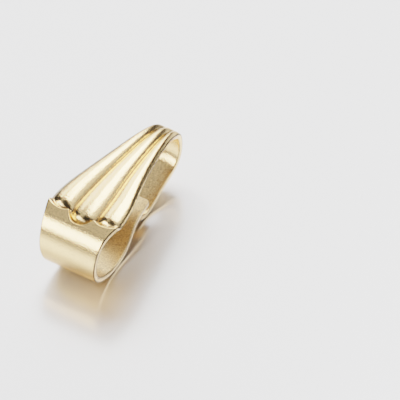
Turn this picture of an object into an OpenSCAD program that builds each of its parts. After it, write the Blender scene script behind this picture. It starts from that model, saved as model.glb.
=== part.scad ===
// Clip-on bail: a pendant finding stamped and bent from one strip of thin spring brass.
// X runs along the loop from its wide end to its narrow end, Y across the strip and Z up.
// The bail lies on its back arm and on the knee of its outer arm, with the ribbed face on top.

/* [Loop] */
// Length of the closed loop, over the metal
loop_length = 15; // [12:0.5:19]
// Height of the closed loop, over the metal
loop_height = 6.5; // [5.4:0.05:8.5]

/* [Strip] */
// Thickness of the sheet
sheet = 0.47; // [0.35:0.01:0.57]
// Width of the strip at its widest, where the plain band meets the ribs
band_width = 6.2; // [4.4:0.1:7.4]
// Width of the strip at its waist, on the outer arm
narrow_width = 1.6; // [1.2:0.05:2.1]
// Width of the tongue at its end
tongue_width = 2; // [1.4:0.05:2.4]
// Radius of the two corners at the tongue's end
tongue_corner = 0.18; // [0.08:0.02:0.4]

/* [Ribs] */
// Number of ribs across the face
rib_count = 3; // [2:1:4]
// Depth of the V-grooves between the ribs, at the wide end
rib_depth = 0.5; // [0.2:0.02:0.56]
// Depth of the moat in front of each rounded nose
moat_depth = 0.4; // [0.1:0.02:0.5]
// Distance from the wide end of the loop to the scalloped line where the ribs start, at the edges
lip_setback = 2.45; // [2:0.05:3]
// How far that line bows into the band at the middle of the strip
lip_bow = 0.3; // [0.1:0.05:0.5]
// Distance from the narrow end of the loop to where the ribs have faded out
rib_setback = 0.55; // [0.4:0.05:2]
// How far the nose of a middle rib reaches past that line into the band
middle_lobe = 0.78; // [0.2:0.02:0.86]
// How far the nose of an outermost rib reaches past it
side_lobe = 0.3; // [0.1:0.02:0.5]
// Width of the slope that drops from the band into the moat round the noses, at the middle
lip_slope = 0.22; // [0.1:0.02:0.4]
// Length over which a nose rises from the moat to the crest of its rib
nose_length = 0.7; // [0.35:0.05:0.95]
// How far the cut edges lean in under the outermost flanks, through the sheet's thickness
edge_lean = 0.25; // [0:0.05:0.35]
// How far the cut edges roll down beside the ribs
edge_roll = 0.12; // [0:0.02:0.2]
// How far the strip's middle bulges out round the narrow end, where the ribs are bent over
end_bulge_height = 0.1; // [0.02:0.02:0.2]

/* [Closure] */
// Width of the outer arm at its tip, which is rounded to half of this
tip_width = 1.8; // [1.5:0.05:2.2]
// How far the tip is bent up from the knee, towards the tongue
tip_lift = 0.6; // [0.3:0.02:0.8]
// Clearance between the raised tip and the tongue that passes over it
closure_gap = 0.08; // [0.04:0.02:0.3]
// Diameter of the round dimple in the tip
dimple_diameter = 0.85; // [0.5:0.05:1.1]
// Depth of the dimple
dimple_depth = 0.12; // [0.04:0.02:0.2]

/* [Hidden] */

// Height of the face over the back arm, and of the tongue, which clears the raised tip
face_lift = loop_height - sheet;
tongue_lift = sheet + tip_lift + closure_gap;

// Columns of the table of bends, one row for each pull point of the strip's centre line,
// from the dimpled tip round the narrow end, the face and the wide end to the tongue:
// share of the loop's length, height share, what the height is a share of, width share,
// and the two widths that the last share blends
AT_X = 0;
AT_Z = 1;
LIFT = 2;
WIDTH_SHARE = 3;
WIDTHS = 4;
arm_widths = [narrow_width, tip_width];
face_widths = [narrow_width, band_width];
back_widths = [tongue_width, band_width];
bends = [
    [0.548, 1.00, tip_lift, 1.00, arm_widths],
    [0.586, 0.50, tip_lift, 1.00, arm_widths],
    [0.625, 0.04, tip_lift, 1.00, arm_widths],
    [0.667, -0.04, tip_lift, 1.00, arm_widths],
    [0.720, 0.035, face_lift, 0.90, arm_widths],
    [0.785, 0.105, face_lift, 0.40, arm_widths],
    [0.860, 0.160, face_lift, 0.00, arm_widths],
    [0.936, 0.220, face_lift, 0.010, face_widths],
    [0.990, 0.350, face_lift, 0.038, face_widths],
    [1.007, 0.562, face_lift, 0.048, face_widths],
    [0.980, 0.787, face_lift, 0.077, face_widths],
    [0.894, 0.927, face_lift, 0.148, face_widths],
    [0.760, 0.982, face_lift, 0.287, face_widths],
    [0.604, 1.003, face_lift, 0.464, face_widths],
    [0.448, 1.006, face_lift, 0.689, face_widths],
    [0.310, 0.988, face_lift, 0.928, face_widths],
    [0.195, 0.970, face_lift, 1.052, face_widths],
    [0.103, 0.930, face_lift, 0.863, back_widths],
    [0.034, 0.800, face_lift, 0.754, back_widths],
    [-0.006, 0.561, face_lift, 0.701, back_widths],
    [0.005, 0.297, face_lift, 0.639, back_widths],
    [0.078, 0.105, face_lift, 0.557, back_widths],
    [0.192, -0.003, face_lift, 0.487, back_widths],
    [0.308, -0.02, tongue_lift, 0.437, back_widths],
    [0.405, 0.38, tongue_lift, 0.334, back_widths],
    [0.485, 0.84, tongue_lift, 0.179, back_widths],
    [0.555, 1.00, tongue_lift, 0.113, back_widths],
    [0.616, 1.00, tongue_lift, 0.044, back_widths],
    [0.670, 1.00, tongue_lift, 0.000, back_widths],
];

// Each pull point as x, z and the strip's half width there
pulls = [for (row = bends)
    let (narrow = row[WIDTHS][0], wide = row[WIDTHS][1])
    [
        row[AT_X] * (loop_length - sheet),
        row[AT_Z] * row[LIFT],
        (narrow + row[WIDTH_SHARE] * (wide - narrow)) / 2,
    ]];
last_pull = len(pulls) - 1;

function pull(i) =
    i < 0 ? 2 * pulls[0] - pulls[1]
    : i > last_pull ? 2 * pulls[last_pull] - pulls[last_pull - 1]
    : pulls[i];

// Cubic B-spline through the pull points, as x, z and half width
function bent(u) =
    let (i = min(floor(u), last_pull - 1), t = u - i)
    (
        pow(1 - t, 3) * pull(i - 1)
        + (3 * t * t * t - 6 * t * t + 4) * pull(i)
        + (3 * t + 3 * t * t - 3 * t * t * t + 1) * pull(i + 1)
        + t * t * t * pull(i + 2)
    ) / 6;

// Fine samples of the curve, levelled on its two feet and brought to the exact outer size
samples_per_pull = 12;
rough = [for (k = [0 : last_pull * samples_per_pull]) bent(k / samples_per_pull)];
halfway = floor(len(rough) / 2);
outer_low = min([for (k = [0 : halfway]) rough[k][1]]);
back_low = min([for (k = [halfway : len(rough) - 1]) rough[k][1]]);
outer_foot = [for (k = [0 : halfway]) if (rough[k][1] == outer_low) rough[k]][0];
back_foot = [for (k = [halfway : len(rough) - 1]) if (rough[k][1] == back_low) rough[k]][0];
foot_slope = (outer_foot[1] - back_foot[1]) / (outer_foot[0] - back_foot[0]);
level = [for (p = rough) [p[0], p[1] - back_foot[1] - foot_slope * (p[0] - back_foot[0]), p[2]]];
left_end = min([for (p = level) p[0]]);
right_end = max([for (p = level) p[0]]);
crown_height = max([for (p = level) p[1]]);
stretch_x = (loop_length - sheet) / (right_end - left_end);
stretch_z = face_lift / crown_height;
line = [for (p = level) [
    (p[0] - left_end) * stretch_x - (loop_length - sheet) / 2,
    p[1] * stretch_z + sheet / 2,
    p[2],
]];

// Distance along the strip to each sample, from the dimpled tip
function run_to(points, k = 0, so_far = 0) =
    k == len(points) ? []
    : let (step = k == 0 ? 0 : norm([points[k][0] - points[k - 1][0], points[k][1] - points[k - 1][1]]))
      concat([so_far + step], run_to(points, k + 1, so_far + step));
runs = run_to(line);
strip_length = runs[len(runs) - 1];
x_by_run = [for (k = [0 : len(line) - 1]) [runs[k], line[k][0]]];
z_by_run = [for (k = [0 : len(line) - 1]) [runs[k], line[k][1]]];
half_by_run = [for (k = [0 : len(line) - 1]) [runs[k], line[k][2]]];

// Run at which the face passes a given x, on its way from the narrow end to the wide end
function face_run(x) =
    let (passed = [for (k = [0 : len(line) - 2])
        if (line[k][1] > loop_height / 2 && line[k][0] >= x && line[k + 1][0] < x) runs[k]])
    passed[0];
lip_run = face_run(lip_setback - loop_length / 2);
fade_run = face_run(loop_length / 2 - rib_setback);
turn_x = (loop_length - sheet) / 2;
turn_run = [for (k = [0 : len(line) - 1]) if (line[k][0] > turn_x - 0.001) runs[k]][0];

function smooth(t) = let (s = max(0, min(1, t))) s * s * (3 - 2 * s);
function dome(t) = let (s = max(0, min(1, t))) sqrt(1 - (1 - s) * (1 - s));

// Half width, with the tip rounded and the tongue's corners cut round
tip_radius = tip_width / 2;
function half_width(run) =
    let (
        plain = lookup(run, half_by_run),
        from_end = strip_length - run
    )
    run < tip_radius ? plain * dome(run / tip_radius)
    : from_end < tongue_corner ? plain - tongue_corner * (1 - dome(from_end / tongue_corner))
    : plain;

// Ribs of equal width side by side, where the strip's edges cut the outermost ones short.
// Places across the strip are shares of its half width, from -1 to 1. The outer flank of an
// outermost rib is a share of half a rib wide, larger at the wide end, and falls more evenly
wide_end_share = 0.88;
narrow_end_share = 0.5;
lobe_share = 0.62;
rib_power = 2.2;
edge_power = 1.5;
middle_rib = (rib_count - 1) / 2;
function pitch_of(kept_share) = 2 / (rib_count - 1 + kept_share);
function rib_pitch(station) =
    let (share = max(0, min(1, (station - fade_run) / (lip_run - fade_run))))
    pitch_of(narrow_end_share + (wide_end_share - narrow_end_share) * share);
function rib_at(across, pitch) = max(0, min(rib_count - 1, round(across / pitch + middle_rib)));
function rib_offset(across, pitch) = (across / pitch + middle_rib - rib_at(across, pitch)) * 2;
function outside_flank(rib, offset) = (rib == 0 && offset < 0) || (rib == rib_count - 1 && offset > 0);
function rib_crown(across, pitch) =
    let (
        offset = rib_offset(across, pitch),
        power = outside_flank(rib_at(across, pitch), offset) ? edge_power : rib_power
    )
    1 - pow(min(1, abs(offset)), power);

// Scalloped line: it bows into the band, and each rib's nose reaches further
lobe_pitch = pitch_of(lobe_share);
lobe_power = 2.5;
bow_power = 3;
function lobe(across) =
    let (
        outward = rib_count < 3 ? 0 : abs(rib_at(across, lobe_pitch) - middle_rib) / middle_rib,
        reach = middle_lobe + (side_lobe - middle_lobe) * outward,
        offset = min(1, abs(rib_offset(across, lobe_pitch)))
    )
    lip_bow * (1 - pow(abs(across), bow_power)) + reach * (1 - pow(offset, lobe_power));

// A row of the grid lies at one station along the strip, and bows out with the lobes near the line,
// so that the scalloped line and the moat follow the rows
nose_run = lip_run - lip_slope - nose_length;
bow_before = 1.6;
bow_after = 1.9;
function bow(station) =
    station < lip_run ? smooth((station - nose_run + bow_before) / bow_before)
    : 1 - smooth((station - lip_run) / bow_after);
function run_at(station, across) = station + lobe(across) * bow(station);

// Depth of the ribs follows the strip's width and fades out at the narrow end
shallow_share = 0.45;
fade_length = 1.2;
moat_edge_share = 0.25;
nose_power = 2.2;
edge_slope_times = 3;
roll_width = 0.3;
function rib_fade(station) = smooth((station - fade_run) / fade_length);
function depth_share(station) = shallow_share + (1 - shallow_share) * 2 * half_width(station) / band_width;
function lip_share(station, across) =
    smooth((lip_run - station) / lip_slope / (1 + (edge_slope_times - 1) * pow(across, 4)));
function nose_drop(station) = pow(max(0, min(1, (station - nose_run) / nose_length)), nose_power);
function roll(station, across) =
    edge_roll * pow(max(0, 1 - (1 - abs(across)) * half_width(station) / roll_width), 2);
function rib_relief(station, across) =
    let (
        crown = rib_crown(across, rib_pitch(station)),
        groove = rib_depth * depth_share(station) * (1 - crown),
        moat = moat_depth * crown * nose_drop(station) * smooth((1 - abs(across)) / moat_edge_share)
    )
    -rib_fade(station) * lip_share(station, across) * (groove + moat + roll(station, across));

// Round dimple in the middle of the rounded tip
function dimple_relief(run, across) =
    let (away = norm([run - tip_radius, across * half_width(run)]) * 2 / dimple_diameter)
    away >= 1 ? 0 : -dimple_depth * (1 + cos(180 * away)) / 2;

// Edges of the strip lie lower than its middle round the narrow end
bulge_length = 2.8;
function bulge_relief(station, across) =
    -end_bulge_height * across * across * smooth(1 - abs(station - turn_run) / bulge_length);

function relief(station, across) =
    rib_relief(station, across) + dimple_relief(station, across) + bulge_relief(station, across);

// Stations along the strip: round the tip by angle, then in zones of their own spacing
tip_steps = 7;
first_angle = 14;
tip_stations = [for (k = [0 : tip_steps])
    tip_radius * (1 - cos(first_angle + (90 - first_angle) * k / tip_steps))];
knee_run = tip_width * 1.9;
corner_run = strip_length - tongue_corner;
step = loop_length / 56;
zones = [
    [tip_radius, tip_radius + dimple_diameter / 2, 0.4 * step],
    [tip_radius + dimple_diameter / 2, knee_run, step],
    [knee_run, fade_run, 1.5 * step],
    [fade_run, fade_run + fade_length, step],
    [fade_run + fade_length, nose_run, 2 * step],
    [nose_run, lip_run - lip_slope, 0.4 * step],
    [lip_run - lip_slope, lip_run, 0.28 * step],
    [lip_run, corner_run, 1.1 * step],
    [corner_run, strip_length, 0.4 * step],
];
zone_stations = [for (zone = zones)
    let (count = ceil((zone[1] - zone[0]) / zone[2]))
    for (k = [1 : count]) zone[0] + (zone[1] - zone[0]) * k / count];
stations = concat(tip_stations, zone_stations);

// Places across the strip at a station: even steps in each whole or cut rib
steps_per_rib = 6;
last_place = rib_count * steps_per_rib;
function rib_bound(i, pitch) = i == 0 ? -1 : i == rib_count ? 1 : (i - middle_rib - 0.5) * pitch;
function place(k, station) =
    let (
        pitch = rib_pitch(station),
        rib = min(rib_count - 1, floor(k / steps_per_rib)),
        share = k / steps_per_rib - rib
    )
    rib_bound(rib, pitch) * (1 - share) + rib_bound(rib + 1, pitch) * share;

// Beside the ribs the inner face is narrower than the outer one, because the cut edges lean in
function lean_at(station) = edge_lean * depth_share(station) * rib_fade(station) * lip_share(station, 1);

// Point on the sheet at a place, offset from its middle to the outside (1) or inside (-1)
slope_length = 0.02;
function normal_at(run) =
    let (
        a = max(0, run - slope_length),
        b = min(strip_length, run + slope_length),
        along_x = lookup(b, x_by_run) - lookup(a, x_by_run),
        along_z = lookup(b, z_by_run) - lookup(a, z_by_run),
        length = norm([along_x, along_z])
    )
    [along_z / length, -along_x / length];
function sheet_point(station, across, side) =
    let (
        run = run_at(station, across),
        out = normal_at(run),
        shift = relief(station, across) + side * sheet / 2,
        lean = (1 - side) / 2 * lean_at(station)
    )
    [
        lookup(run, x_by_run) + out[0] * shift,
        across * (half_width(run) - lean),
        lookup(run, z_by_run) + out[1] * shift,
    ];

// Both faces of the sheet as one grid each, closed round the edges and at the two ends
across_count = last_place + 1;
row_count = len(stations);
last_row = row_count - 1;
layer = across_count * row_count;
sheet_points = [for (side = [1, -1]) for (station = stations) for (k = [0 : last_place])
    sheet_point(station, place(k, station), side)];
function at(row, place, side) = (side > 0 ? 0 : layer) + row * across_count + place;
function quad(a, b, c, d) = [[a, b, c], [a, c, d]];
sheet_faces = concat(
    [for (r = [0 : last_row - 1]) for (p = [0 : last_place - 1])
        each quad(at(r, p, 1), at(r + 1, p, 1), at(r + 1, p + 1, 1), at(r, p + 1, 1))],
    [for (r = [0 : last_row - 1]) for (p = [0 : last_place - 1])
        each quad(at(r, p, -1), at(r, p + 1, -1), at(r + 1, p + 1, -1), at(r + 1, p, -1))],
    [for (r = [0 : last_row - 1])
        each quad(at(r, 0, 1), at(r, 0, -1), at(r + 1, 0, -1), at(r + 1, 0, 1))],
    [for (r = [0 : last_row - 1])
        each quad(at(r, last_place, 1), at(r + 1, last_place, 1),
            at(r + 1, last_place, -1), at(r, last_place, -1))],
    [for (p = [0 : last_place - 1])
        each quad(at(0, p, 1), at(0, p + 1, 1), at(0, p + 1, -1), at(0, p, -1))],
    [for (p = [0 : last_place - 1])
        each quad(at(last_row, p, 1), at(last_row, p, -1),
            at(last_row, p + 1, -1), at(last_row, p + 1, 1))]
);

module bail_strip() {
    color([0.86, 0.76, 0.52])
        polyhedron(points = sheet_points, faces = sheet_faces);
}

bail_strip();
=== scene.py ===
import math

import bpy
import numpy as np
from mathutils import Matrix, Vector


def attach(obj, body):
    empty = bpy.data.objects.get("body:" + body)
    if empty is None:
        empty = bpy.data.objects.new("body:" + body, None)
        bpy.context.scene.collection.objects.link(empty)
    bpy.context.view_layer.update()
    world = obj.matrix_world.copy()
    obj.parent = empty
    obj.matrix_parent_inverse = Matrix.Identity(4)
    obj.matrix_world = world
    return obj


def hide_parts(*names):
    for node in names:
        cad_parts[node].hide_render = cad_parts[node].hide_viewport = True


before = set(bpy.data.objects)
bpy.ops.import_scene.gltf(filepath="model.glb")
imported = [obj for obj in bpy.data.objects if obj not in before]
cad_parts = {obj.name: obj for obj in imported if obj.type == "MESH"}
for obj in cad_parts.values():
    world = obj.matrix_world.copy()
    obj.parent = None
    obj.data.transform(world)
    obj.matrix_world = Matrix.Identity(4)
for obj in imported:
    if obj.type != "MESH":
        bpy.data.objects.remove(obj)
bpy.ops.object.select_all(action="DESELECT")
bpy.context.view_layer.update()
scene = bpy.context.scene
# its soft shoulder whitens the brightest gold, as a photograph does
scene.view_settings.view_transform = "Filmic"


view = {
    "target": (0.005924, -0.003383, 0.0),  # on the floor, in the middle of the picture
    "direction": (0.6054, 0.3784, -0.7003),
    "distance": 0.3174,
    "lens": 371.2,  # millimetres, as is the sensor
    "sensor": 36,
    "clip": (0.01, 10),
}


def addCamera(v):
    towards = Vector(v["direction"]).normalized()
    place = Vector(v["target"]) - towards * v["distance"]
    bpy.ops.object.camera_add(location=place, rotation=towards.to_track_quat("-Z", "Y").to_euler())
    camera = bpy.context.object
    camera.name = "photoCamera"
    camera.data.lens = v["lens"]
    camera.data.sensor_width = v["sensor"]
    camera.data.clip_start, camera.data.clip_end = v["clip"]
    scene.camera = camera
    print("camera at", [round(c, 4) for c in place])


addCamera(view)


# the strip, in metres
bail = {
    "loopLength": 0.015,
    "loopHeight": 0.0065,
    "sheet": 0.00047,
    "bandWidth": 0.0062,
    "narrowWidth": 0.0016,
    "endBulge": 0.0001,
    "bulgeLength": 0.0028,
    # closure
    "tongueWidth": 0.002,
    "tongueCorner": 0.00018,
    "tipWidth": 0.0018,
    "tipLift": 0.0006,
    "closureGap": 0.00008,
    "dimpleDiameter": 0.00085,
    "dimpleDepth": 0.00012,
    # ribs, which fade in at the narrow end and stop at the lip, a scalloped line at the wide end
    "ribCount": 3,
    "ribDepth": 0.0005,
    "ribSetback": 0.00055,
    "fadeLength": 0.0012,
    "shallowShare": 0.45,  # of the depth, what a strip of no width would keep
    "wideEndShare": 0.88,  # of half a rib, what is kept outside an outermost crest
    "narrowEndShare": 0.5,
    "ribPower": 2.2,
    "edgePower": 1.5,
    # lip, with a lobe round each rib's nose and a moat before it
    "lipSetback": 0.00245,
    "lipBow": 0.0003,
    "bowPower": 3,
    "bowBefore": 0.0016,
    "bowAfter": 0.0019,
    "middleLobe": 0.00078,
    "sideLobe": 0.0003,
    "lobeShare": 0.62,
    "lobePower": 2.5,
    "lipSlope": 0.00022,
    "edgeSlopeTimes": 3,
    "noseLength": 0.0007,
    "nosePower": 2.2,
    "moatDepth": 0.0004,
    "moatEdgeShare": 0.25,
    # cut edges: they lean in and roll down beside the ribs, and are rounded all along
    "edgeLean": 0.00025,
    "edgeRoll": 0.00012,
    "rollWidth": 0.0003,
    "cutEdgeRound": 0.00008,
    # where the gold is painted darker for shade and dark reflections, and made rougher inside; the near side
    # is the one at negative Y
    "grooveFrom": 0.8,  # of the way from a crest to the bottom of a groove
    "rimWidths": (0.00012, 0.0009),  # on the near side and the far side
    "rimSharpness": 1.6,
    "rimStrength": 0.7,
    "insideReach": 0.002,
    "insideStart": 0.2,
    "pitOffset": 0.5,  # half ribs from the middle of a nose to its near side
    "pitSetback": 0.0005,
    "pitSize": (0.5, 0.00045),  # half ribs across, and metres along
    "pitSharpness": 1.5,
    "noseShade": 0.45,
    # mesh, with its turns in degrees
    "stepsPerBend": 40,
    "stepsPerRib": 26,
    "rowStep": 0.00011,
    "tipStep": 0.00006,
    "noseStep": 0.00004,
    "lipStep": 0.00002,
    "lipMargin": 0.0001,
    "tipTurn": 6,
    "cornerTurn": 15,
    "roundTurn": 22.5,
    "mergeDistance": 1e-7,
    "smoothAngle": 60,
    "sheetPerUnit": 0.04,  # metres of sheet in one unit of its map
    # from the dimpled tip round the narrow end, the face and the wide end to the tongue:
    # x share, height share, what that height is a share of, width share, which widths it blends
    "bends": [
        (0.548, 1.00, "tip", 1.00, "arm"),
        (0.586, 0.50, "tip", 1.00, "arm"),
        (0.625, 0.04, "tip", 1.00, "arm"),
        (0.667, -0.04, "tip", 1.00, "arm"),
        (0.720, 0.035, "face", 0.90, "arm"),
        (0.785, 0.105, "face", 0.40, "arm"),
        (0.860, 0.160, "face", 0.00, "arm"),
        (0.936, 0.220, "face", 0.010, "front"),
        (0.990, 0.350, "face", 0.038, "front"),
        (1.007, 0.562, "face", 0.048, "front"),
        (0.980, 0.787, "face", 0.077, "front"),
        (0.894, 0.927, "face", 0.148, "front"),
        (0.760, 0.982, "face", 0.287, "front"),
        (0.604, 1.003, "face", 0.464, "front"),
        (0.448, 1.006, "face", 0.689, "front"),
        (0.310, 0.988, "face", 0.928, "front"),
        (0.195, 0.970, "face", 1.052, "front"),
        (0.103, 0.930, "face", 0.863, "back"),
        (0.034, 0.800, "face", 0.754, "back"),
        (-0.006, 0.561, "face", 0.701, "back"),
        (0.005, 0.297, "face", 0.639, "back"),
        (0.078, 0.105, "face", 0.557, "back"),
        (0.192, -0.003, "face", 0.487, "back"),
        (0.308, -0.02, "tongue", 0.437, "back"),
        (0.405, 0.38, "tongue", 0.334, "back"),
        (0.485, 0.84, "tongue", 0.179, "back"),
        (0.555, 1.00, "tongue", 0.113, "back"),
        (0.616, 1.00, "tongue", 0.044, "back"),
        (0.670, 1.00, "tongue", 0.000, "back"),
    ],
}


def smooth(t):
    s = np.clip(t, 0, 1)
    return s * s * (3 - 2 * s)


def dome(t):
    return np.sqrt(1 - (1 - np.clip(t, 0, 1)) ** 2)


def pullPoints(b):
    # x, z and half width at each bend, with one more at each end for the spline
    inner = b["loopLength"] - b["sheet"]
    lifts = {
        "tip": b["tipLift"],
        "face": b["loopHeight"] - b["sheet"],
        "tongue": b["sheet"] + b["tipLift"] + b["closureGap"],
    }
    widths = {
        "arm": (b["narrowWidth"], b["tipWidth"]),
        "front": (b["narrowWidth"], b["bandWidth"]),
        "back": (b["tongueWidth"], b["bandWidth"]),
    }
    pulls = []
    for x, z, lift, share, pair in b["bends"]:
        narrow, wide = widths[pair]
        pulls.append((x * inner, z * lifts[lift], (narrow + share * (wide - narrow)) / 2))
    pulls = np.array(pulls)
    return np.vstack([2 * pulls[0] - pulls[1], pulls, 2 * pulls[-1] - pulls[-2], pulls[-1]])


def bendLine(b):
    # cubic B-spline through the bends, levelled on its two feet and stretched to the outer size
    pulls = pullPoints(b)
    last = len(b["bends"]) - 1
    u = np.arange(last * b["stepsPerBend"] + 1) / b["stepsPerBend"]
    i = np.minimum(u.astype(int), last - 1)
    t = (u - i)[:, None]
    line = (
        (1 - t) ** 3 * pulls[i]
        + (3 * t**3 - 6 * t**2 + 4) * pulls[i + 1]
        + (1 + 3 * t + 3 * t**2 - 3 * t**3) * pulls[i + 2]
        + t**3 * pulls[i + 3]
    ) / 6
    half = len(line) // 2
    outerFoot = line[:half][np.argmin(line[:half, 1])].copy()
    backFoot = line[half:][np.argmin(line[half:, 1])].copy()
    slope = (outerFoot[1] - backFoot[1]) / (outerFoot[0] - backFoot[0])
    line[:, 1] -= backFoot[1] + slope * (line[:, 0] - backFoot[0])
    length, height = b["loopLength"] - b["sheet"], b["loopHeight"] - b["sheet"]
    line[:, 0] = (line[:, 0] - line[:, 0].min()) * length / np.ptp(line[:, 0]) - length / 2
    line[:, 1] = line[:, 1] * height / line[:, 1].max() + b["sheet"] / 2
    run = np.concatenate([[0], np.cumsum(np.hypot(*np.diff(line[:, :2], axis=0).T))])
    return {"run": run, "x": line[:, 0], "z": line[:, 1], "half": line[:, 2]}


def alongStrip(b):
    # the bend line with its normals, and the runs where the ribs start, fade out and turn back
    line = bendLine(b)
    run, x, z = line["run"], line["x"], line["z"]
    slopeX, slopeZ = np.gradient(x, run), np.gradient(z, run)
    size = np.hypot(slopeX, slopeZ)
    line["outX"], line["outZ"] = slopeZ / size, -slopeX / size

    def faceRun(at):
        passed = (z[:-1] > b["loopHeight"] / 2) & (x[:-1] >= at) & (x[1:] < at)
        return run[np.where(passed)[0][0]]

    line["lip"] = faceRun(b["lipSetback"] - b["loopLength"] / 2)
    line["nose"] = line["lip"] - b["lipSlope"] - b["noseLength"]
    line["fade"] = faceRun(b["loopLength"] / 2 - b["ribSetback"])
    line["turn"] = run[np.argmax(x)]
    line["length"] = run[-1]
    return line


def halfWidth(line, station):
    return np.interp(station, line["run"], line["half"])


def pitchOf(b, keptShare):
    # ribs of equal width side by side, with a share of the outer flanks kept inside the cut edges
    return 2 / (b["ribCount"] - 1 + keptShare)


def ribPitch(b, line, station):
    share = np.clip((station - line["fade"]) / (line["lip"] - line["fade"]), 0, 1)
    return pitchOf(b, b["narrowEndShare"] + (b["wideEndShare"] - b["narrowEndShare"]) * share)


def ribAt(b, across, pitch):
    # which rib a place lies on, and how far it is from the crest, in half ribs
    middle = (b["ribCount"] - 1) / 2
    rib = np.clip(np.round(across / pitch + middle), 0, b["ribCount"] - 1)
    return rib, (across / pitch + middle - rib) * 2


def outsideFlank(b, rib, offset):
    return ((rib == 0) & (offset < 0)) | ((rib == b["ribCount"] - 1) & (offset > 0))


def ribCrown(b, across, pitch):
    # 1 on a crest and 0 in a groove
    rib, offset = ribAt(b, across, pitch)
    power = np.where(outsideFlank(b, rib, offset), b["edgePower"], b["ribPower"])
    return 1 - np.minimum(1, abs(offset)) ** power


def lobe(b, across):
    # scalloped line: it bows into the band, and each rib's nose reaches further
    rib, offset = ribAt(b, across, pitchOf(b, b["lobeShare"]))
    outward = abs(rib / (b["ribCount"] - 1) * 2 - 1)
    reach = b["middleLobe"] + (b["sideLobe"] - b["middleLobe"]) * outward
    nose = reach * (1 - np.minimum(1, abs(offset)) ** b["lobePower"])
    return b["lipBow"] * (1 - abs(across) ** b["bowPower"]) + nose


def rowBow(b, line, station):
    # how much of the lobes a row across the strip takes on
    before = smooth((station - line["nose"] + b["bowBefore"]) / b["bowBefore"])
    after = 1 - smooth((station - line["lip"]) / b["bowAfter"])
    return np.where(station < line["lip"], before, after)


def ribStrength(b, line, station, across):
    # 0 past the lip and where the ribs have faded out, 1 in between
    slope = b["lipSlope"] * (1 + (b["edgeSlopeTimes"] - 1) * across**4)
    return smooth((station - line["fade"]) / b["fadeLength"]) * smooth((line["lip"] - station) / slope)


def depthShare(b, line, station):
    # the ribs are as deep as the strip is wide
    share = 2 * halfWidth(line, station) / b["bandWidth"]
    return b["shallowShare"] + (1 - b["shallowShare"]) * share


def ribRelief(b, line, station, across):
    crown = ribCrown(b, across, ribPitch(b, line, station))
    groove = b["ribDepth"] * depthShare(b, line, station) * (1 - crown)
    noseDrop = np.clip((station - line["nose"]) / b["noseLength"], 0, 1) ** b["nosePower"]
    moat = b["moatDepth"] * crown * noseDrop * smooth((1 - abs(across)) / b["moatEdgeShare"])
    fromEdge = (1 - abs(across)) * halfWidth(line, station)
    roll = b["edgeRoll"] * np.maximum(0, 1 - fromEdge / b["rollWidth"]) ** 2
    return -ribStrength(b, line, station, across) * (groove + moat + roll)


def relief(b, line, station, across, y):
    away = np.hypot(station - b["tipWidth"] / 2, y) * 2 / b["dimpleDiameter"]
    dimple = -b["dimpleDepth"] * (1 + np.cos(np.pi * np.minimum(away, 1))) / 2
    bulge = -b["endBulge"] * across**2 * smooth(1 - abs(station - line["turn"]) / b["bulgeLength"])
    return ribRelief(b, line, station, across) + dimple + bulge


def rowStations(b, line):
    # rows crowd round the tip, at the noses and at the tongue's corners
    tip, corner, end = b["tipWidth"] / 2, b["tongueCorner"], line["length"]
    slopeStart, lipEnd = line["lip"] - b["lipSlope"], line["lip"] + b["lipMargin"]
    zones = [
        (tip, 2 * tip, b["tipStep"]),
        (2 * tip, line["nose"], b["rowStep"]),
        (line["nose"], slopeStart, b["noseStep"]),
        (slopeStart, lipEnd, b["lipStep"]),
        (lipEnd, end - corner, b["rowStep"]),
    ]
    stations = [tip * (1 - math.cos(math.radians(a))) for a in range(0, 90, b["tipTurn"])]
    for start, stop, step in zones:
        count = math.ceil((stop - start) / step)
        stations += [start + (stop - start) * k / count for k in range(count)]
    stations += [end - corner * (1 - math.sin(math.radians(a))) for a in range(0, 91, b["cornerTurn"])]
    return np.array(stations)


def outlineOf(b, line, stations):
    # run and half width of the outline at each row, and the direction that points out of it
    half = halfWidth(line, stations)
    tip, corner = b["tipWidth"] / 2, b["tongueCorner"]
    half = np.where(stations < tip, half * dome(stations / tip), half)
    half = half - corner * (1 - dome((line["length"] - stations) / corner))
    run = stations + lobe(b, 1.0) * rowBow(b, line, stations)
    alongRun, alongHalf = np.gradient(run), np.gradient(half)
    alongRun[[0, -1]] = 0
    alongHalf[[0, -1]] = 1, -1
    size = np.hypot(alongRun, alongHalf)
    return np.column_stack([run, half, -alongHalf / size, alongRun / size])


def acrossPlaces(b, line, station):
    # places across the strip, with the same number of steps in each whole or cut rib
    middle = (b["ribCount"] - 1) / 2
    bounds = [(i - middle - 0.5) * ribPitch(b, line, station) for i in range(b["ribCount"] + 1)]
    bounds[0], bounds[-1] = -1, 1
    ribs = [np.linspace(p, q, b["stepsPerRib"], endpoint=False) for p, q in zip(bounds, bounds[1:])]
    return np.concatenate(ribs + [[1]])


def edgeRounding(b):
    # steps from a face round the cut edge to the sheet's middle: inset from the outline, and level
    corner, deep = b["cutEdgeRound"], b["sheet"] / 2
    turns = np.radians(np.arange(0, 91, b["roundTurn"]))
    inset = np.concatenate([corner * (1 - np.sin(turns)), [0, 0]])
    level = np.concatenate([deep - corner * (1 - np.cos(turns)), [(deep - corner) / 2, 0]])
    return inset, level


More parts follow.
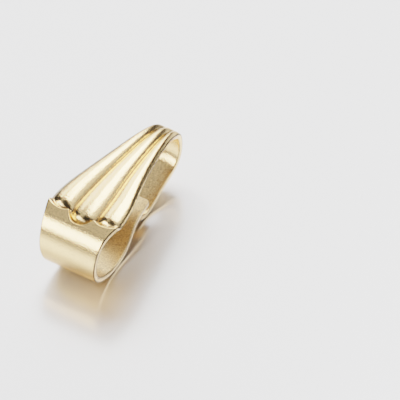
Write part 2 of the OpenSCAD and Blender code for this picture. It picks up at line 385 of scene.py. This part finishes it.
def flatRing(b, line, station, outline, push):
    # once round the strip laid flat: outer face, cut edge, inner face, cut edge
    # a push above 0 draws the faces down the rounding, which closes the tongue's end
    run, half, outward, sideways = outline
    inset, level = edgeRounding(b)
    across = acrossPlaces(b, line, station)
    lobes = (lobe(b, across) - lobe(b, 1.0)) * rowBow(b, line, station)
    faceRun = run + lobes - inset[push] * outward
    face = [faceRun, across * (half - inset[push] * sideways), level[push], across, 0.0]
    steps = np.maximum(np.arange(1, len(inset)), push)
    edge = [run - inset[steps] * outward, half - inset[steps] * sideways, level[steps], 1.0, 1.0]
    face, edge = (np.stack(np.broadcast_arrays(*part), -1) for part in (face, edge))
    top = np.vstack([(edge * [1, -1, 1, -1, 1])[::-1], face, edge])
    under = (top * [1, 1, -1, 1, 1])[-2:0:-1]
    ring = dict(zip(("run", "y", "level", "across", "cutEdge"), np.vstack([top, under]).T))
    lean = b["edgeLean"] * depthShare(b, line, station) * ribStrength(b, line, station, 1.0)
    shrink = min(1, lean / half) if lean else 0
    ring["y"] = ring["y"] * (1 - shrink * (0.5 - ring["level"] / b["sheet"]))
    return ring


def bentRing(b, line, station, ring):
    # out of the flat: onto the ribs and round the bend line
    off = ring["level"] + relief(b, line, station, ring["across"], ring["y"])
    x, z, outX, outZ = (np.interp(ring["run"], line["run"], line[key]) for key in ("x", "z", "outX", "outZ"))
    return np.stack([x + outX * off, ring["y"], z + outZ * off], -1)


def finishMarks(b, line, station, ring):
    # painted shade and painted dark reflections on the gold, from 0 to 1; the inside mark also makes it
    # rougher
    y, level, across = ring["y"], ring["level"], ring["across"]
    ribs = ribStrength(b, line, station, across)
    rib, offset = ribAt(b, across, ribPitch(b, line, station))
    # painted shade along the bottom of each groove, where the real grooves fall dark
    groove = np.clip((abs(offset) - b["grooveFrom"]) / (1 - b["grooveFrom"]), 0, 1)
    groove = np.where(outsideFlank(b, rib, offset), 0, groove)

    # painted dark reflection along the cut edges beside the ribs, wider on the far side
    fromEdge = halfWidth(line, station) - abs(y)
    paintedDarkRim = smooth(b["rimSharpness"] * (1 - fromEdge / np.where(y < 0, *b["rimWidths"])))
    # painted dark line along the outer corner of each cut edge, a painted dark reflection
    outerCorner = ring["cutEdge"] * (level > b["sheet"] / 4)

    # painted shade on the inner face, deepest at the wide end; the same mark also makes the gold rougher
    # there
    wideEnd = [line["nose"] - b["insideReach"], line["lip"]]
    inside = np.where(level < 0, np.interp(ring["run"], wideEnd, [b["insideStart"], 1]), 0)

    # a painted dark reflection at the near side of each nose, and painted shade over the middle nose's moat
    rib, offset = ribAt(b, across, pitchOf(b, b["lobeShare"]))
    pitAcross = (offset + b["pitOffset"]) / b["pitSize"][0]
    pitAlong = (station - line["lip"] + b["pitSetback"]) / b["pitSize"][1]
    paintedNoseDark = smooth(b["pitSharpness"] * (1 - np.hypot(pitAcross, pitAlong)))
    noseShadeRise = b["noseShade"] * smooth((station - line["nose"]) / b["pitSetback"])
    middleNose = noseShadeRise * (rib == (b["ribCount"] - 1) / 2)
    return {
        "groove": groove * ribs,
        "paintedDarkRim": np.maximum(b["rimStrength"] * paintedDarkRim * ribs, outerCorner),
        "inside": inside,
        "paintedNoseDark": np.maximum(paintedNoseDark, middleNose) * (level > 0) * (station < line["lip"]),
    }


def stripRows(b):
    line = alongStrip(b)
    stations = rowStations(b, line)
    outlines = outlineOf(b, line, stations)
    last, pushes = len(stations) - 1, len(edgeRounding(b)[0])
    rows, marks = [], []
    for k, push in [(k, 0) for k in range(last)] + [(last, push) for push in range(pushes)]:
        ring = flatRing(b, line, stations[k], outlines[k], push)
        roundedStation = stations[k] - b["cutEdgeRound"] * outlines[k][2]
        rows.append(bentRing(b, line, roundedStation, ring))
        marks.append({"run": ring["run"], **finishMarks(b, line, stations[k], ring)})
    return np.array(rows), {name: np.array([mark[name] for mark in marks]) for name in marks[0]}


def closeRound(values):
    return np.concatenate([values, values[:, :1]], axis=1)


def modelStrip(b):
    rows, marks = stripRows(b)
    rows = closeRound(rows)
    rowCount, placeCount = rows.shape[:2]
    bpy.ops.mesh.primitive_grid_add(x_subdivisions=placeCount - 1, y_subdivisions=rowCount - 1, size=1)
    piece = bpy.context.object
    piece.name = "ribbedStrip"
    mesh = piece.data
    mesh.vertices.foreach_set("co", rows.astype(np.float32).ravel())

    around = np.cumsum(np.linalg.norm(np.diff(rows, axis=1, prepend=rows[:, :1]), axis=2), axis=1)
    sheetPlaces = np.stack([closeRound(marks.pop("run")), around], -1).reshape(-1, 2) / b["sheetPerUnit"]
    corners = np.zeros(len(mesh.loops), np.int32)
    mesh.loops.foreach_get("vertex_index", corners)
    mesh.uv_layers[0].name = "alongStrip"
    mesh.uv_layers[0].data.foreach_set("uv", sheetPlaces[corners].astype(np.float32).ravel())
    for name, values in marks.items():
        values = closeRound(values).astype(np.float32).ravel()
        mesh.attributes.new(name, "FLOAT", "POINT").data.foreach_set("value", values)

    bpy.ops.object.mode_set(mode="EDIT")
    bpy.ops.mesh.select_all(action="SELECT")
    bpy.ops.mesh.remove_doubles(threshold=b["mergeDistance"])
    bpy.ops.mesh.normals_make_consistent(inside=False)
    bpy.ops.object.mode_set(mode="OBJECT")
    bpy.ops.object.shade_smooth_by_angle(angle=math.radians(b["smoothAngle"]))
    print("strip:", len(mesh.vertices), "vertices,", len(mesh.polygons), "faces")
    return piece


strip = modelStrip(bail)


satinGold = {
    "colour": (0.96, 0.645, 0.3, 1),
    "darkColour": (0.16, 0.115, 0.07, 1),
    # how far each marked place and each noise goes from the one to the other
    # painted shade in the grooves, inside the loop and over the middle nose; painted dark reflections along
    # the rims and at each nose
    "shades": {"groove": 0.9, "paintedDarkRim": 0.95, "inside": 0.6, "paintedNoseDark": 0.6},
    "cloudShade": 0.2,
    "grainShade": 1.0,
    "roughness": 0.22,
    "innerRoughness": 0.3,
    "roughnessSpread": 0.12,
    "grainDepth": 0.000014,
    "grainPerMetre": 8000,
    "grainDetail": 1.5,
    "cloudPerMetre": 1000,
    "streaksPerUnit": 260,
    "streakStretch": 0.12,
    "streakShare": 0.12,
    "softDetail": 2.0,
}


def feed(tree, socket, value):
    # a socket takes another node's output or a fixed value
    if isinstance(value, bpy.types.NodeSocket):
        tree.links.new(value, socket)
    else:
        socket.default_value = value


def addNode(tree, kind, **inputs):
    made = tree.nodes.new(kind)
    for name, value in inputs.items():
        feed(tree, made.inputs[name], value)
    return made


def addNoise(tree, place, scale, detail):
    return addNode(tree, "ShaderNodeTexNoise", Vector=place, Scale=scale, Detail=detail).outputs["Fac"]


def addMark(tree, name):
    made = tree.nodes.new("ShaderNodeAttribute")
    made.attribute_name = name
    return made.outputs["Fac"]


def maths(tree, kind, first, second):
    made = tree.nodes.new("ShaderNodeMath")
    made.operation = kind
    feed(tree, made.inputs[0], first)
    feed(tree, made.inputs[1], second)
    return made.outputs["Value"]


def swing(tree, noise, reach):
    # a noise's swing about its middle
    return maths(tree, "MULTIPLY", maths(tree, "SUBTRACT", noise, 0.5), reach)


def makeSatinGold(g):
    material = bpy.data.materials.new("satinGold")
    material.use_nodes = True
    tree = material.node_tree
    shader = tree.nodes["Principled BSDF"]
    shader.inputs["Metallic"].default_value = 1

    place = addNode(tree, "ShaderNodeTexCoord").outputs["Object"]
    sheetPlace = tree.nodes.new("ShaderNodeUVMap")
    sheetPlace.uv_map = "alongStrip"
    stretch = (1, g["streakStretch"], 1)
    stretched = addNode(tree, "ShaderNodeMapping", Vector=sheetPlace.outputs["UV"], Scale=stretch)
    grain = addNoise(tree, place, g["grainPerMetre"], g["grainDetail"])
    cloud = addNoise(tree, place, g["cloudPerMetre"], g["softDetail"])
    streaks = addNoise(tree, stretched.outputs["Vector"], g["streaksPerUnit"], g["softDetail"])

    # painted shade and painted dark reflections from the marks, then the metal's own cloud and grain
    shade = 0
    for name, strength in g["shades"].items():
        shade = maths(tree, "MAXIMUM", shade, maths(tree, "MULTIPLY", addMark(tree, name), strength))
    shade = maths(tree, "ADD", shade, swing(tree, cloud, g["cloudShade"]))
    shade = maths(tree, "ADD", shade, swing(tree, grain, g["grainShade"]))
    mix = tree.nodes.new("ShaderNodeMix")
    mix.data_type = "RGBA"
    mix.inputs["A"].default_value = g["colour"]
    mix.inputs["B"].default_value = g["darkColour"]
    feed(tree, mix.inputs["Factor"], shade)
    feed(tree, shader.inputs["Base Color"], mix.outputs["Result"])

    duller = maths(tree, "MULTIPLY", addMark(tree, "inside"), g["innerRoughness"] - g["roughness"])
    rough = maths(tree, "ADD", g["roughness"], duller)
    rough = maths(tree, "ADD", rough, swing(tree, grain, g["roughnessSpread"]))
    feed(tree, shader.inputs["Roughness"], rough)

    height = maths(tree, "ADD", grain, maths(tree, "MULTIPLY", streaks, g["streakShare"]))
    bump = addNode(tree, "ShaderNodeBump", Strength=1.0, Distance=g["grainDepth"], Height=height)
    feed(tree, shader.inputs["Normal"], bump.outputs["Normal"])
    print("gold:", len(tree.nodes), "nodes")
    return material


strip.data.materials.append(makeSatinGold(satinGold))
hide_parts("bail_strip")
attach(strip, "root")


studio = {
    "floorSize": 2.4,
    "floorColour": (0.85, 0.85, 0.86, 1),
    "floorRoughness": 0.2,
    "floorIor": 2.4,
    "airColour": (1, 1, 1, 1),
    "airStrength": 0.03,
    "panelDistance": 0.7,
    # degrees across and up of the middle, degrees wide and high, radiance, what the panel serves
    "panels": {
        "rightPanel": (-10, 52, 40, 34, 9, "metal"),
        "sidePanel": (-58, 48, 44, 40, 1.2, "metal"),
        "backPanel": (34, 32, 50, 42, 4, "both"),
        "leftPanel": (146, 27, 42, 28, 8, "metal"),
        "nearPanel": (186, 20, 26, 18, 5, "metal"),
        "topPanel": (85, 74, 60, 24, 0.8, "both"),
        "floorKey": (47, 53, 42, 24, 19.5, "floor"),
        "floorLeft": (138, 50, 26, 26, 2.5, "floor"),
    },
    # the golden light that the band throws on the floor before it
    "glow": {
        "place": (-0.0076, -0.0026, 0.0022),
        "towards": (-0.2, -0.3, -1),
        "size": 0.0035,
        "colour": (1, 0.56, 0.2),
        "radiance": 1.9,
    },
}


def addFloor(s):
    bpy.ops.mesh.primitive_plane_add(size=s["floorSize"], location=(0, 0, 0))
    floor = bpy.context.object
    floor.name = "paleFloor"
    material = bpy.data.materials.new("paleFloor")
    material.use_nodes = True
    shader = material.node_tree.nodes["Principled BSDF"]
    shader.inputs["Base Color"].default_value = s["floorColour"]
    shader.inputs["Roughness"].default_value = s["floorRoughness"]
    shader.inputs["IOR"].default_value = s["floorIor"]
    floor.data.materials.append(material)


def addPanel(s, name, across, up, wide, high, radiance, serves):
    a, e = math.radians(across), math.radians(up)
    towards = Vector((math.cos(a) * math.cos(e), math.sin(a) * math.cos(e), math.sin(e)))
    turn = towards.to_track_quat("Z", "Y").to_euler()
    bpy.ops.object.light_add(type="AREA", location=towards * s["panelDistance"], rotation=turn)
    panel = bpy.context.object
    panel.name = name
    panel.data.shape = "RECTANGLE"
    panel.data.size = 2 * s["panelDistance"] * math.tan(math.radians(wide / 2))
    panel.data.size_y = 2 * s["panelDistance"] * math.tan(math.radians(high / 2))
    panel.data.energy = radiance * math.pi * panel.data.size * panel.data.size_y
    panel.visible_diffuse = serves != "metal"
    panel.visible_glossy = serves != "floor"


def addGlow(glow):
    turn = Vector(glow["towards"]).to_track_quat("-Z", "Y").to_euler()
    bpy.ops.object.light_add(type="AREA", location=glow["place"], rotation=turn)
    lamp = bpy.context.object
    lamp.name = "goldGlow"
    lamp.data.size = glow["size"]
    lamp.data.color = glow["colour"]
    lamp.data.energy = glow["radiance"] * math.pi * glow["size"] ** 2
    lamp.visible_glossy = False


def addAir(s):
    world = bpy.data.worlds.new("air")
    world.use_nodes = True
    background = world.node_tree.nodes["Background"]
    background.inputs["Color"].default_value = s["airColour"]
    background.inputs["Strength"].default_value = s["airStrength"]
    scene.world = world


addFloor(studio)
for name, panel in studio["panels"].items():
    addPanel(studio, name, *panel)
addGlow(studio["glow"])
addAir(studio)
print("floor, glow and", len(studio["panels"]), "panels")
